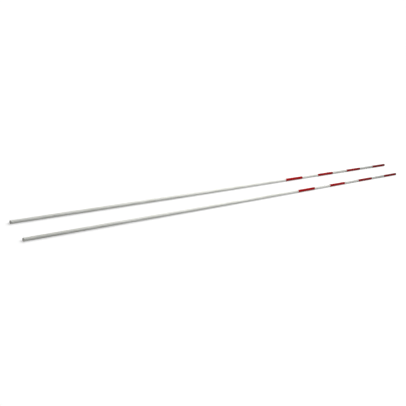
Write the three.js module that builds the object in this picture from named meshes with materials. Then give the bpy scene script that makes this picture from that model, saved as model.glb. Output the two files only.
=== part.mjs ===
// A pair of striped net marker poles lying side by side on the floor.
//
// Each pole is a long, thin, white glass-fibre tube. The far end carries four red tape
// bands with bare white tube between them. A plug with a head closes the tip, and a plug
// pressed inside the bore closes the butt.
//
// Frame: +X runs along the poles from butt to tip, +Z is up, and the origin is on the
// floor below the middle of the pair. All sizes are in millimetres.
import * as THREE from "three";

// Whole pole
const poleLength = 1800;
const poleSpacing = 66; // between the two centre lines

// Tube
const tubeDiameter = 9.5;
const tubeBore = 6;
const tubeEdgeChamfer = 0.4;

// Tape bands, counted from the tip
const bandCount = 4;
const bandLength = 100;
const bandPitch = 200; // one band and the white stretch after it
const bandThickness = 0.2;

// Tip plug
const tipHeadThickness = 2;
const tipHeadChamfer = 0.8;
const tipStemLength = 14;
const stemTaper = 0.5;

// Butt plug
const buttPlugLength = 16;
const buttPlugRecess = 0.6;

// Round pieces are prisms with this many sides. All of them share it, so that a band
// meets its tube, and a plug its bore, flat on flat.
const roundSides = 24;

const tubeRadius = tubeDiameter / 2;
const boreRadius = tubeBore / 2;
const bandRadius = tubeRadius + bandThickness;
const tubeLength = poleLength - tipHeadThickness;
const flatShare = Math.cos(Math.PI / roundSides); // distance to a flat over distance to a corner
const axisHeight = bandRadius * flatShare; // the lowest flats are the bands', on the floor

const fibreWhite = new THREE.MeshStandardMaterial({ color: 0xe4e5e1, roughness: 0.42, metalness: 0 });
const tapeRed = new THREE.MeshStandardMaterial({ color: 0xb8101a, roughness: 0.38, metalness: 0 });
const plugBlack = new THREE.MeshStandardMaterial({ color: 0x1c1c1e, roughness: 0.6, metalness: 0 });
const plugGrey = new THREE.MeshStandardMaterial({ color: 0xb3b3ae, roughness: 0.5, metalness: 0 });

// The lathe turns about its own Y. This basis lays that axis along X without any rounding.
const lathedAlongX = new THREE.Matrix4().makeBasis(
  new THREE.Vector3(0, 0, 1),
  new THREE.Vector3(1, 0, 0),
  new THREE.Vector3(0, 1, 0),
);

// A turned piece from [radius, distance along X] points. The half-step start puts a flat underneath.
function turned(name, profile, material) {
  const points = profile.map(([radius, along]) => new THREE.Vector2(radius, along));
  const geometry = new THREE.LatheGeometry(points, roundSides, Math.PI / roundSides);
  geometry.applyMatrix4(lathedAlongX);
  const mesh = new THREE.Mesh(geometry, material);
  mesh.name = name;
  return mesh;
}

function makeTube(name) {
  const chamfer = tubeEdgeChamfer;
  return turned(
    name,
    [
      [boreRadius, 0],
      [tubeRadius - chamfer, 0],
      [tubeRadius, chamfer],
      [tubeRadius, tubeLength],
      [boreRadius, tubeLength],
      [boreRadius, 0],
    ],
    fibreWhite,
  );
}

function makeBand(name, bandNumber) {
  const end = tubeLength - bandNumber * bandPitch;
  const start = end - bandLength;
  return turned(
    name,
    [
      [tubeRadius, start],
      [bandRadius, start],
      [bandRadius, end],
      [tubeRadius, end],
      [tubeRadius, start],
    ],
    tapeRed,
  );
}

// The head sits on the tube's end, and the stem fills the bore behind it.
function makeTipPlug(name) {
  return turned(
    name,
    [
      [0, tubeLength - tipStemLength],
      [boreRadius - stemTaper, tubeLength - tipStemLength],
      [boreRadius, tubeLength - tipStemLength + stemTaper],
      [boreRadius, tubeLength],
      [tubeRadius, tubeLength],
      [tubeRadius, poleLength - tipHeadChamfer],
      [tubeRadius - tipHeadChamfer, poleLength],
      [0, poleLength],
    ],
    plugBlack,
  );
}

function makeButtPlug(name) {
  const inner = buttPlugRecess + buttPlugLength;
  return turned(
    name,
    [
      [0, buttPlugRecess],
      [boreRadius, buttPlugRecess],
      [boreRadius, inner - stemTaper],
      [boreRadius - stemTaper, inner],
      [0, inner],
    ],
    plugGrey,
  );
}

function makePole(side) {
  const pole = new THREE.Group();
  pole.add(makeTube(`${side}_tube`));
  for (let number = 0; number < bandCount; number += 1) {
    pole.add(makeBand(`${side}_band_${number + 1}`, number));
  }
  pole.add(makeTipPlug(`${side}_tip_plug`));
  pole.add(makeButtPlug(`${side}_butt_plug`));
  return pole;
}

// Left and right are as seen from the butts, looking along the poles.
const pair = new THREE.Group();
for (const [side, direction] of [["left", 1], ["right", -1]]) {
  const pole = makePole(side);
  pole.position.set(-poleLength / 2, (direction * poleSpacing) / 2, axisHeight);
  pair.add(pole);
}

export default pair;
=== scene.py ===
import math

import bmesh
import bpy
from mathutils import Matrix, Vector


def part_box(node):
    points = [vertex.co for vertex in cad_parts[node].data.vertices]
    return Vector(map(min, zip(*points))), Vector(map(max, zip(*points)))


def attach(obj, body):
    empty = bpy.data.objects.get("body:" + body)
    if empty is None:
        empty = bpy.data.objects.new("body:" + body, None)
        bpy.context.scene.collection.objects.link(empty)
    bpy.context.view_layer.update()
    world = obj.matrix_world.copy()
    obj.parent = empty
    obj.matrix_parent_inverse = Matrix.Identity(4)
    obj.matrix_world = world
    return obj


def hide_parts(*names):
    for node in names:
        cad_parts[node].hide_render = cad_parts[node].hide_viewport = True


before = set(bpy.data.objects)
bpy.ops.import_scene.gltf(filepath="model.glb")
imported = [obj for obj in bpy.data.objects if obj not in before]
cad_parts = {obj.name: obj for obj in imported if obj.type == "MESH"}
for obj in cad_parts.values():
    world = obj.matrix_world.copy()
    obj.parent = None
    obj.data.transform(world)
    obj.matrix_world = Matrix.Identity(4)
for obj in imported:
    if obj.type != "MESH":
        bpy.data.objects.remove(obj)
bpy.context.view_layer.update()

mm = 0.001
cadSides = 24  # the CAD's round pieces are prisms, and their boxes are measured across flats
bandNumbers = (1, 2, 3, 4)  # counted from the tip


def radiusOf(node):
    low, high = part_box(node)
    return (high.y - low.y) / 2 / math.cos(math.pi / cadSides)


def middleOf(node):
    low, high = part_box(node)
    return (low + high) / 2


def lengthOf(node):
    low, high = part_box(node)
    return high.x - low.x


# Left and right are as seen from the butts, looking along the poles.
poles = {
    "left": {"body": "left_pole", "axis": middleOf("left_tube"), "turn": 0.0},
    "right": {"body": "right_pole", "axis": middleOf("right_tube"), "turn": 0.5},
}
tubeRadius = radiusOf("left_tube")
boreRadius = radiusOf("left_butt_plug")
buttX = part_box("left_tube")[0].x
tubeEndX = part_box("left_tube")[1].x
bandLength = lengthOf("left_band_1")
bandPitch = middleOf("left_band_1").x - middleOf("left_band_2").x


# Hand modelling. Every piece is shaped round the X axis and put in its place at the end.

def deselectAll():
    if bpy.context.object and bpy.context.object.mode != "OBJECT":
        bpy.ops.object.mode_set(mode="OBJECT")
    bpy.ops.object.select_all(action="DESELECT")


def selectOnly(piece):
    deselectAll()
    piece.select_set(True)
    bpy.context.view_layer.objects.active = piece


def settle(piece):
    selectOnly(piece)
    bpy.ops.object.transform_apply(location=True, rotation=True, scale=True)


def startRod(name, radius, startX, endX, around):
    deselectAll()
    bpy.ops.mesh.primitive_cylinder_add(
        vertices=around,
        radius=radius,
        depth=endX - startX,
        end_fill_type="NGON",
        location=((startX + endX) / 2, 0, 0),
        rotation=(0, math.pi / 2, 0),
    )
    piece = bpy.context.object
    piece.name = name
    settle(piece)
    bpy.ops.object.mode_set(mode="EDIT")
    return piece


def pickFaces(test):
    bpy.ops.mesh.select_mode(type="FACE")
    bpy.ops.mesh.select_all(action="DESELECT")
    shape = bmesh.from_edit_mesh(bpy.context.object.data)
    for face in shape.faces:
        face.select_set(test(face.calc_center_median(), face.normal))
    shape.select_flush_mode()
    bmesh.update_edit_mesh(bpy.context.object.data)


def pickEdges(test):
    bpy.ops.mesh.select_mode(type="EDGE")
    bpy.ops.mesh.select_all(action="DESELECT")
    shape = bmesh.from_edit_mesh(bpy.context.object.data)
    for edge in shape.edges:
        edge.select_set(test(edge.verts[0].co, edge.verts[1].co))
    shape.select_flush_mode()
    bmesh.update_edit_mesh(bpy.context.object.data)


rimSlack = 0.02 * mm
mergeGap = 0.001 * mm
endFacing = 0.99  # how far along X a normal has to point for its face to be an end


# A rim is a ring of edges at one radius and one place along X.
def pickRim(x, radius, slack=rimSlack):
    def onRim(point):
        return abs(point.x - x) < slack and abs(math.hypot(point.y, point.z) - radius) < slack

    pickEdges(lambda start, end: onRim(start) and onRim(end))


def bevelPicked(width, steps):
    bpy.ops.mesh.bevel(offset=width, segments=steps, profile=0.5, affect="EDGES")


def growPicked(stepX, scale):
    bpy.ops.mesh.extrude_region_move(TRANSFORM_OT_translate={"value": (stepX, 0, 0)})
    resizePicked(scale)


def resizePicked(scale):
    bpy.ops.transform.resize(value=(1, scale, scale), center_override=(0, 0, 0))


def closeEdit():
    bpy.ops.mesh.select_all(action="SELECT")
    bpy.ops.mesh.remove_doubles(threshold=mergeGap)
    bpy.ops.mesh.normals_make_consistent(inside=False)
    bpy.ops.object.mode_set(mode="OBJECT")


def smoothOver(piece, degrees):
    selectOnly(piece)
    bpy.ops.object.shade_smooth_by_angle(angle=math.radians(degrees))


def applyModifiers(piece):
    selectOnly(piece)
    for modifier in list(piece.modifiers):
        bpy.ops.object.modifier_apply(modifier=modifier.name)


# A copy has its own mesh, turned about its axis and moved to its pole.
def placeCopy(master, name, x, side, turn):
    selectOnly(master)
    bpy.ops.object.duplicate(linked=False)
    piece = bpy.context.object
    piece.name = name
    axis = poles[side]["axis"]
    piece.location = (x, axis.y, axis.z)
    piece.rotation_euler = (turn, 0, 0)
    settle(piece)
    return piece


def finishPiece(piece, side, node, material):
    piece.data.materials.clear()
    piece.data.materials.append(material)
    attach(piece, poles[side]["body"])
    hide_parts(node)


def removeMaster(master):
    mesh = master.data
    bpy.data.objects.remove(master)
    bpy.data.meshes.remove(mesh)


# Shader maths. A Sock wraps an output socket, and arithmetic on it adds Math nodes.

class Sock:
    def __init__(self, finish, socket):
        self.finish = finish
        self.socket = socket

    def math(self, operation, *others, clamp=False):
        settings = {"operation": operation, "use_clamp": clamp}
        return self.finish.node("ShaderNodeMath", settings, dict(enumerate((self, *others))))

    def __add__(self, other):
        return self.math("ADD", other)

    def __radd__(self, other):
        return self.math("ADD", other)

    def __sub__(self, other):
        return self.math("SUBTRACT", other)

    def __rsub__(self, other):
        return self.finish.node("ShaderNodeMath", {"operation": "SUBTRACT"}, {0: other, 1: self})

    def __mul__(self, other):
        return self.math("MULTIPLY", other)

    def __rmul__(self, other):
        return self.math("MULTIPLY", other)

    def __truediv__(self, other):
        return self.math("DIVIDE", other)

    def __rtruediv__(self, other):
        return self.finish.node("ShaderNodeMath", {"operation": "DIVIDE"}, {0: other, 1: self})

    def over(self, low, high):
        # 0 below low, 1 above high, and smooth between; the other way round if low is the larger
        settings = {"interpolation_type": "SMOOTHSTEP"}
        values = {"Value": self, "From Min": low, "From Max": high, "To Min": 0.0, "To Max": 1.0}
        if low > high:
            values.update({"From Min": high, "From Max": low, "To Min": 1.0, "To Max": 0.0})
        return self.finish.node("ShaderNodeMapRange", settings, values)


class Finish:
    def __init__(self, tree):
        self.tree = tree
        tree.nodes.clear()

    def node(self, kind, settings=None, values=None, out=0):
        made = self.tree.nodes.new(kind)
        for key, setting in (settings or {}).items():
            setattr(made, key, setting)
        for key, value in (values or {}).items():
            if isinstance(value, Sock):
                self.tree.links.new(value.socket, made.inputs[key])
            else:
                made.inputs[key].default_value = value
        return Sock(self, made.outputs[out]) if made.outputs else made

    def mix(self, amount, first, second):
        # a Mix node's colour sockets are numbers 6 and 7 in, and 2 out
        return self.node(
            "ShaderNodeMix",
            {"data_type": "RGBA"},
            {0: amount, 6: first, 7: second},
            out=2,
        )

    def noise(self, scale, detail=3.0, rough=0.5, stretch=(1, 1, 1)):
        # scale is in cycles per metre, and stretch squeezes an axis of the pattern
        mapped = self.node("ShaderNodeMapping", {}, {"Vector": self.place, "Scale": stretch})
        values = {"Vector": mapped, "Scale": scale, "Detail": detail, "Roughness": rough}
        return self.node("ShaderNodeTexNoise", {}, values)

    def bump(self, height, depth):
        return self.node("ShaderNodeBump", {}, {"Strength": 1.0, "Distance": depth, "Height": height})

    def shade(self, **sockets):
        shader = self.node("ShaderNodeBsdfPrincipled")
        for key, value in sockets.items():
            name = key.replace("_", " ")
            target = shader.socket.node.inputs[name]
            if isinstance(value, Sock):
                self.tree.links.new(value.socket, target)
            else:
                target.default_value = value
        self.node("ShaderNodeOutputMaterial", {}, {"Surface": shader})
        return self.material


def newFinish(name):
    material = bpy.data.materials.new(name)
    material.use_nodes = True
    look = Finish(material.node_tree)
    look.material = material
    look.place = look.node("ShaderNodeTexCoord", out="Object")
    look.x = look.node("ShaderNodeSeparateXYZ", {}, {"Vector": look.place}, out="X")
    return look


def grey(level):
    return (level, level, level, 1)


# Tube: white pultruded glass fibre, with fibre lines along it and a bare cut at each end.
tubeSet = {
    "around": 72,
    "edgeRound": 0.4 * mm,
    "edgeSteps": 3,
    "boreRound": 0.15 * mm,
    "boreSteps": 2,
    "boreSlack": 0.08 * mm,  # the inset leaves the bore's rim this near its radius
    "smoothBelow": 32,
    "white": (0.77, 0.78, 0.74, 1),
    "whiteShade": (0.69, 0.70, 0.65, 1),
    "cutFibre": (0.58, 0.59, 0.50, 1),
    "scuff": (0.30, 0.30, 0.28, 1),
    # noise: cycles a metre, detail, roughness, and how far each axis is squeezed
    "lines": (1500, 3, 0.6, (0.004, 1, 1)),
    "cloud": (14, 3, 0.55),
    "marks": (420, 2, 0.5, (0.12, 1, 1)),
    "speckle": (5200, 1, 0.5),
    # where each starts to show and where it is full, and how much of it shows
    "linesRange": (0.55, 0.72),
    "linesShare": 0.6,
    "cloudRange": (0.35, 0.68),
    "marksRange": (0.74, 0.80),
    "marksShare": 0.55,
    "speckleRange": (0.4, 0.6),
    "speckleShare": 0.5,
    "sawnBump": 0.6,
    "fibreDepth": 0.05 * mm,
    "handledGain": 0.10,
    "handledLength": 0.35,  # the stretch before the butt that is scuffed most
    "sawnFrom": 0.10 * mm,
    "sawnFull": 0.03 * mm,
    "roughness": 0.40,
    "scuffRough": 0.25,
    "sawnRough": 0.4,
    "cloudRough": 0.16,
    "specular": 0.2,
}


def makeTubeFinish():
    look = newFinish("whiteGlassFibre")
    lines = look.noise(*tubeSet["lines"])
    cloud = look.noise(*tubeSet["cloud"])
    white = look.mix(cloud.over(*tubeSet["cloudRange"]), tubeSet["white"], tubeSet["whiteShade"])
    lined = lines.over(*tubeSet["linesRange"]) * tubeSet["linesShare"]
    white = look.mix(lined, white, tubeSet["whiteShade"])
    # short scuffs, more of them on the last stretch before the butt
    handled = look.x.over(buttX + tubeSet["handledLength"], buttX) * tubeSet["handledGain"]
    marks = look.noise(*tubeSet["marks"]) + handled
    scuffed = marks.over(*tubeSet["marksRange"]) * tubeSet["marksShare"]
    white = look.mix(scuffed, white, tubeSet["scuff"])
    # the sawn ends show bare fibre
    sawnFrom, sawnFull = tubeSet["sawnFrom"], tubeSet["sawnFull"]
    sawn = look.x.over(buttX + sawnFrom, buttX + sawnFull)
    sawn = sawn + look.x.over(tubeEndX - sawnFrom, tubeEndX - sawnFull)
    speckle = look.noise(*tubeSet["speckle"])
    speckled = speckle.over(*tubeSet["speckleRange"]) * tubeSet["speckleShare"]
    fibre = look.mix(speckled, tubeSet["cutFibre"], tubeSet["white"])
    color = look.mix(sawn, white, fibre)
    rough = tubeSet["roughness"] + scuffed * tubeSet["scuffRough"] + sawn * tubeSet["sawnRough"]
    rough = rough + (cloud - 0.5) * tubeSet["cloudRough"]
    return look.shade(
        Base_Color=color,
        Roughness=rough,
        Normal=look.bump(lines + speckle * sawn * tubeSet["sawnBump"], tubeSet["fibreDepth"]),
        Specular_IOR_Level=tubeSet["specular"],
    )


def makeTubes():
    length = tubeEndX - buttX
    master = startRod("tubeMaster", tubeRadius, 0, length, tubeSet["around"])
    wall = tubeRadius - boreRadius
    pickFaces(lambda centre, normal: abs(normal.x) > endFacing)
    bpy.ops.mesh.inset(thickness=wall, use_even_offset=True)
    bpy.ops.mesh.bridge_edge_loops()
    for x in (0, length):
        pickRim(x, tubeRadius)
        bevelPicked(tubeSet["edgeRound"], tubeSet["edgeSteps"])
        pickRim(x, boreRadius, tubeSet["boreSlack"])
        bevelPicked(tubeSet["boreRound"], tubeSet["boreSteps"])
    closeEdit()
    smoothOver(master, tubeSet["smoothBelow"])
    finish = makeTubeFinish()
    for side in poles:
        piece = placeCopy(master, side + "PoleTube", buttX, side, poles[side]["turn"])
        finishPiece(piece, side, side + "_tube", finish)
    removeMaster(master)
    print("tubes made")


# Bands: red vinyl tape, one turn each, its end lapped over its start.
tapeSet = {
    "thickness": 0.14 * mm,
    "glueLine": 0.01 * mm,
    "steps": 88,
    "rampDegrees": 8,
    "rampSteps": 4,
    "lapDegrees": 26,
    "lapSteps": 7,
    "slip": 0.35 * mm,  # how far the lapped end runs off square
    "edgeRound": 0.04 * mm,
    "edgeSteps": 2,
    "edgeAbove": 50,
    "smoothBelow": 40,
    "lengthCuts": 9,
    "closeGap": 0.01 * mm,
    "grimeWidth": 1.1 * mm,
    "grimeFull": 0.1 * mm,
    "grimeWaver": 2.2,  # mm, how far the grime's edge wanders
    "grimeShare": 0.7,
    "cloud": (30, 3, 0.55),
    "smear": (600, 3, 0.6),
    "wear": (900, 2, 0.5, (0.08, 1, 1)),
    "grain": (4200, 2, 0.55),
    "creases": (240, 2, 0.5, (0.35, 1, 1)),
    "cloudRange": (0.35, 0.7),
    "wearRange": (0.69, 0.76),
    "wearShare": 0.5,
    "grainShare": 0.2,
    "creaseDepth": 0.14 * mm,
    "red": (0.38, 0.001, 0.002, 1),
    "redDeep": (0.29, 0.001, 0.002, 1),
    "redWorn": (0.50, 0.012, 0.014, 1),
    "grime": (0.08, 0.004, 0.005, 1),
    "roughness": 0.36,
    "grimeRough": 0.3,
    "wearRough": 0.2,
    "cloudRough": 0.15,
    "specular": 0.04,
    "turns": (0.3, 1.5, 4.8, 5.7),  # where each band's lap lies round the pole
}


def makeTapeFinish():
    look = newFinish("redVinylTape")
    cloud = look.noise(*tapeSet["cloud"])
    red = look.mix(cloud.over(*tapeSet["cloudRange"]), tapeSet["red"], tapeSet["redDeep"])
    # distance to the nearer edge of the band, because every band starts one pitch on
    along = (tubeEndX - look.x).math("MODULO", bandPitch)
    edge = along.math("MINIMUM", bandLength - along)
    smear = look.noise(*tapeSet["smear"])
    wavering = edge + (smear - 0.5) * tapeSet["grimeWaver"] * mm
    grime = wavering.over(tapeSet["grimeWidth"], tapeSet["grimeFull"]) * tapeSet["grimeShare"]
    worn = look.noise(*tapeSet["wear"]).over(*tapeSet["wearRange"]) * tapeSet["wearShare"]
    red = look.mix(worn, red, tapeSet["redWorn"])
    grain = look.noise(*tapeSet["grain"])
    creases = look.noise(*tapeSet["creases"])
    color = look.mix(grime, red, tapeSet["grime"])
    rough = tapeSet["roughness"] + grime * tapeSet["grimeRough"] + worn * tapeSet["wearRough"]
    rough = rough + (cloud - 0.5) * tapeSet["cloudRough"]
    return look.shade(
        Base_Color=color,
        Roughness=rough,
        Normal=look.bump(grain * tapeSet["grainShare"] + creases, tapeSet["creaseDepth"]),
        Specular_IOR_Level=tapeSet["specular"],
    )


def spinPicked(degrees, steps):
    bpy.ops.mesh.spin(
        steps=steps,
        angle=math.radians(degrees),
        center=(0, 0, 0),
        axis=(1, 0, 0),
        use_auto_merge=False,
    )


def makeBandMaster():
    inner = tubeRadius + tapeSet["glueLine"]
    deselectAll()
    bpy.ops.mesh.primitive_plane_add(size=bandLength, location=(bandLength / 2, 0, 0))
    master = bpy.context.object
    master.name = "tapeMaster"
    settle(master)
    # the plane is closed up to its middle line, the edge that is wound round the pole
    bpy.ops.object.mode_set(mode="EDIT")
    bpy.ops.transform.resize(value=(1, 0, 1), center_override=(0, 0, 0))
    bpy.ops.mesh.remove_doubles(threshold=tapeSet["closeGap"])
    bpy.ops.mesh.subdivide(number_cuts=tapeSet["lengthCuts"])
    bpy.ops.transform.translate(value=(0, 0, inner))
    spinPicked(360 - tapeSet["rampDegrees"], tapeSet["steps"])
    climb = tapeSet["thickness"] + tapeSet["glueLine"]
    rampSteps = tapeSet["rampSteps"]
    for step in range(rampSteps):
        spinPicked(tapeSet["rampDegrees"] / rampSteps, 1)
        before = inner + climb * step / rampSteps
        after = inner + climb * (step + 1) / rampSteps
        resizePicked(after / before)
        bpy.ops.transform.translate(value=(tapeSet["slip"] / rampSteps, 0, 0))
    spinPicked(tapeSet["lapDegrees"], tapeSet["lapSteps"])
    bpy.ops.mesh.select_all(action="SELECT")
    bpy.ops.mesh.normals_make_consistent(inside=False)
    bpy.ops.object.mode_set(mode="OBJECT")
    shell = master.modifiers.new("tapeThickness", "SOLIDIFY")
    shell.thickness = tapeSet["thickness"]
    shell.offset = 1
    shell.use_even_offset = True
    edges = master.modifiers.new("tapeEdges", "BEVEL")
    edges.width = tapeSet["edgeRound"]
    edges.segments = tapeSet["edgeSteps"]
    edges.angle_limit = math.radians(tapeSet["edgeAbove"])
    applyModifiers(master)
    smoothOver(master, tapeSet["smoothBelow"])
    return master


def makeBands():
    master = makeBandMaster()
    finish = makeTapeFinish()
    for side in poles:
        for number in bandNumbers:
            node = "%s_band_%d" % (side, number)
            turn = tapeSet["turns"][number - 1] + poles[side]["turn"]
            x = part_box(node)[0].x
            piece = placeCopy(master, "%sPoleTape%d" % (side, number), x, side, turn)
            finishPiece(piece, side, node, finish)
    removeMaster(master)
    print("tape bands made")


# Plugs: the tip's is black rubber with a rounded head, and the butt's is pale plastic inside the bore.
plugSet = {
    "around": 64,
    "running": 0.02 * mm,  # stem to bore
    "rootRelief": 0.25 * mm,  # how far the stem falls back between its ribs
    "ribLength": 0.9 * mm,
    "ribEdge": 0.05 * mm,
    "ribFlat": 0.4,  # the share of a rib that keeps its full radius
    "ribs": 4,
    "leadIn": 0.25 * mm,
    "leadInScale": 0.85,
    "headRound": 0.8 * mm,
    "headSteps": 6,
    "crownSteps": (0.07, 0.03),  # shares of headRound, from the rim inwards
    "gateRadius": 0.7 * mm,
    "gateDepth": 0.12 * mm,
    "gateScale": 0.9,
    "gateInset": 0.2 * mm,
    "gateRise": 0.06 * mm,
    "rimLength": 1.6 * mm,
    "rimRound": 0.3 * mm,
    "rimSteps": 3,
    "rimWidth": 0.55 * mm,
    "dishDepth": 0.30 * mm,
    "dishScale": 0.88,
    "dishInset": 0.9 * mm,
    "dishCrown": 0.10 * mm,
    "smoothBelow": 35,
    "dust": (260, 3, 0.6),
    "dustRange": (0.45, 0.75),
    "dustShare": 0.7,
    "dustRough": 0.35,
    "grain": (3600, 2, 0.6),
    "grainDepth": 0.03 * mm,
    "specular": 0.3,
    "black": (0.020, 0.020, 0.022, 1),
    "blackDusty": (0.085, 0.083, 0.078, 1),
    "blackRoughness": 0.55,
    "pale": (0.60, 0.60, 0.57, 1),
    "paleGrubby": (0.38, 0.37, 0.34, 1),
    "paleRoughness": 0.50,
}


def makePlugFinish(name, clean, dirty, roughness):
    look = newFinish(name)
    dust = look.noise(*plugSet["dust"])
    grain = look.noise(*plugSet["grain"])
    dusty = dust.over(*plugSet["dustRange"]) * plugSet["dustShare"]
    return look.shade(
        Base_Color=look.mix(dusty, plugSet[clean], plugSet[dirty]),
        Roughness=plugSet[roughness] + (dust - 0.5) * plugSet["dustRough"],
        Normal=look.bump(grain, plugSet["grainDepth"]),
        Specular_IOR_Level=plugSet["specular"],
    )


# Grows a ribbed stem from the picked face, along X in the given direction.
def growStem(startRadius, stemRadius, length, direction):
    root = stemRadius - plugSet["rootRelief"]
    pitch = length / (plugSet["ribs"] + 1)
    bpy.ops.mesh.inset(thickness=startRadius - root)
    radius = root
    for _ in range(plugSet["ribs"]):
        for stepX, target in (
            (pitch - plugSet["ribLength"], root),
            (plugSet["ribEdge"], stemRadius),
            (plugSet["ribLength"] * plugSet["ribFlat"], stemRadius),
            (plugSet["ribLength"] * (1 - plugSet["ribFlat"]), root),
        ):
            growPicked(direction * stepX, target / radius)
            radius = target
    growPicked(direction * (pitch - plugSet["leadIn"]), 1)
    growPicked(direction * plugSet["leadIn"], plugSet["leadInScale"])


def makeTipPlug():
    low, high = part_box("left_tip_plug")
    headLength = high.x - tubeEndX
    stemLength = tubeEndX - low.x
    straight = headLength - plugSet["headRound"]
    master = startRod("tipMaster", tubeRadius, 0, straight, plugSet["around"])
    pickFaces(lambda centre, normal: normal.x < -endFacing)
    growStem(tubeRadius, boreRadius - plugSet["running"], stemLength, -1)
    # the head's rim rolls over in a quarter turn, and its face is a low crown with a gate mark
    pickFaces(lambda centre, normal: normal.x > endFacing)
    steps = plugSet["headSteps"]
    headDepth = plugSet["headRound"] * (1 - sum(plugSet["crownSteps"]))
    radius, x = tubeRadius, 0
    for step in range(1, steps + 1):
        angle = math.pi / 2 * step / steps
        nextX = headDepth * math.sin(angle)
        nextRadius = tubeRadius - plugSet["headRound"] * (1 - math.cos(angle))
        growPicked(nextX - x, nextRadius / radius)
        radius, x = nextRadius, nextX
    for share in plugSet["crownSteps"]:
        bpy.ops.mesh.inset(thickness=(radius - plugSet["gateRadius"]) / len(plugSet["crownSteps"]))
        bpy.ops.transform.translate(value=(plugSet["headRound"] * share, 0, 0))
    growPicked(-plugSet["gateDepth"], plugSet["gateScale"])
    bpy.ops.mesh.inset(thickness=plugSet["gateInset"])
    bpy.ops.transform.translate(value=(plugSet["gateRise"], 0, 0))
    closeEdit()
    smoothOver(master, plugSet["smoothBelow"])
    return master


def makeButtPlug():
    low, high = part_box("left_butt_plug")
    rim = plugSet["rimLength"]
    radius = boreRadius - plugSet["running"]
    master = startRod("buttMaster", radius, 0, rim, plugSet["around"])
    pickRim(0, radius)
    bevelPicked(plugSet["rimRound"], plugSet["rimSteps"])
    pickFaces(lambda centre, normal: normal.x < -endFacing)
    bpy.ops.mesh.inset(thickness=plugSet["rimWidth"])
    growPicked(plugSet["dishDepth"], plugSet["dishScale"])
    bpy.ops.mesh.inset(thickness=plugSet["dishInset"])
    bpy.ops.transform.translate(value=(-plugSet["dishCrown"], 0, 0))
    pickFaces(lambda centre, normal: normal.x > endFacing)
    growStem(radius, radius, high.x - low.x - rim, 1)
    closeEdit()
    smoothOver(master, plugSet["smoothBelow"])
    return master


def makePlugs():
    black = makePlugFinish("blackMouldedRubber", "black", "blackDusty", "blackRoughness")
    pale = makePlugFinish("paleMouldedPlastic", "pale", "paleGrubby", "paleRoughness")
    tip = makeTipPlug()
    butt = makeButtPlug()
    for side in poles:
        turn = poles[side]["turn"]
        piece = placeCopy(tip, side + "PoleTipPlug", tubeEndX, side, turn)
        finishPiece(piece, side, side + "_tip_plug", black)
        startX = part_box(side + "_butt_plug")[0].x
        piece = placeCopy(butt, side + "PoleButtPlug", startX, side, turn)
        finishPiece(piece, side, side + "_butt_plug", pale)
    removeMaster(tip)
    removeMaster(butt)
    print("plugs made")


# Studio: a white floor that keeps the poles' soft shadow, a broad key lamp and a weak fill.
studioSet = {
    "floorSize": 60,
    "floorColor": 0.60,  # what the floor gives back of the lamps' light
    "floorWhite": 1.02,  # how bright it looks where nothing shades it
    "worldLight": 0.09,
    "nearLamp": 0.15,  # a square lamp's spread close to it, as a share of its size squared
    "lamps": {
        "keyLamp": {"power": 28.0, "size": 1.4, "place": (0.1, 0.2, 1.25), "aim": (-1.1, 0.0, 0.0)},
        "fillLamp": {"power": 4.5, "size": 1.0, "place": (-2.6, -0.15, 0.7), "aim": (-0.9, 0.0, 0.0)},
    },
}


def seenDirectly(look):
    path = look.node("ShaderNodeLightPath").socket.node
    camera, glossy, through = (
        Sock(look, path.outputs[name])
        for name in ("Is Camera Ray", "Is Glossy Ray", "Is Transmission Ray")
    )
    return (camera + glossy + through).math("MINIMUM", 1.0)


# What a lamp sends to each point of the floor, as the brightness of a white card lying there.
def litBy(look, lamp):
    place = Vector(lamp["place"])
    facing = (Vector(lamp["aim"]) - place).normalized()
    minus = {"operation": "SUBTRACT"}
    dot = {"operation": "DOT_PRODUCT"}
    beam = look.node("ShaderNodeVectorMath", minus, {0: look.place, 1: place})
    ahead = look.node("ShaderNodeVectorMath", dot, {0: beam, 1: facing}, "Value")
    reach = look.node("ShaderNodeVectorMath", dot, {0: beam, 1: beam}, "Value")
    reach = reach + studioSet["nearLamp"] * lamp["size"] ** 2
    return ahead.math("MAXIMUM", 0.0) * (place.z * lamp["power"] / math.pi**2) / (reach * reach)


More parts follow.
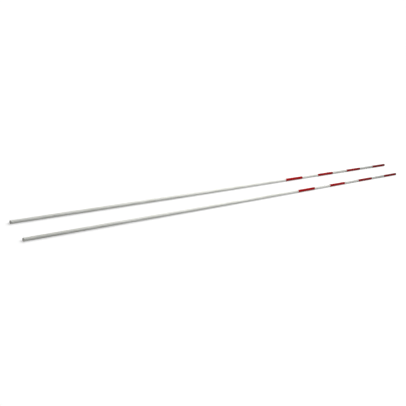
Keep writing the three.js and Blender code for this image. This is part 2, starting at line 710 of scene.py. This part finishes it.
# The lamps' light thins out away from the spot under them, and the floor's glow makes up for that.
def makeFloor():
    deselectAll()
    bpy.ops.mesh.primitive_plane_add(size=studioSet["floorSize"], location=(0, 0, 0))
    floor = bpy.context.object
    floor.name = "studioFloor"
    look = newFinish("studioWhite")
    matt = look.node("ShaderNodeBsdfDiffuse", {}, {"Color": grey(studioSet["floorColor"])})
    lit = studioSet["worldLight"]
    for lamp in studioSet["lamps"].values():
        lit = litBy(look, lamp) + lit
    glow = (studioSet["floorWhite"] - lit * studioSet["floorColor"]) * seenDirectly(look)
    lift = look.node("ShaderNodeEmission", {}, {"Color": grey(1), "Strength": glow})
    both = look.node("ShaderNodeAddShader", {}, {0: matt, 1: lift})
    look.node("ShaderNodeOutputMaterial", {}, {"Surface": both})
    floor.data.materials.append(look.material)


def makeWorld():
    world = bpy.data.worlds.new("studioWorld")
    bpy.context.scene.world = world
    world.use_nodes = True
    look = Finish(world.node_tree)
    direct = seenDirectly(look)
    level = direct + (1 - direct) * studioSet["worldLight"]
    light = look.node("ShaderNodeBackground", {}, {"Color": grey(1), "Strength": level})
    look.node("ShaderNodeOutputWorld", {}, {"Surface": light})


def makeLamps():
    for name, settings in studioSet["lamps"].items():
        lamp = bpy.data.lights.new(name, "AREA")
        lamp.shape = "SQUARE"
        lamp.size = settings["size"]
        lamp.energy = settings["power"]
        holder = bpy.data.objects.new(name, lamp)
        bpy.context.scene.collection.objects.link(holder)
        holder.location = settings["place"]
        facing = Vector(settings["aim"]) - holder.location
        holder.rotation_euler = facing.to_track_quat("-Z", "Y").to_euler()


# The camera stands behind the butts, to the right, and is rolled so that the poles climb the frame.
cameraSet = {
    "place": (-1.7236, -1.0358, 1.0397),
    "azimuth": 54.93,
    "drop": 30.15,
    "roll": 26.00,
    "sensor": 36.0,
    "lens": 59.46,
}


def makeCamera():
    camera = bpy.data.cameras.new("studioCamera")
    camera.sensor_width = cameraSet["sensor"]
    camera.lens = cameraSet["lens"]
    holder = bpy.data.objects.new("studioCamera", camera)
    bpy.context.scene.collection.objects.link(holder)
    heading = Matrix.Rotation(-math.radians(cameraSet["azimuth"]), 4, "Z")
    tilt = Matrix.Rotation(math.radians(90 - cameraSet["drop"]), 4, "X")
    roll = Matrix.Rotation(math.radians(cameraSet["roll"]), 4, "Z")
    holder.matrix_world = Matrix.Translation(cameraSet["place"]) @ heading @ tilt @ roll
    bpy.context.scene.camera = holder


makeCamera()
makeTubes()
makeBands()
makePlugs()
makeFloor()
makeWorld()
makeLamps()
bpy.context.scene.view_settings.view_transform = "Standard"
print("studio made")
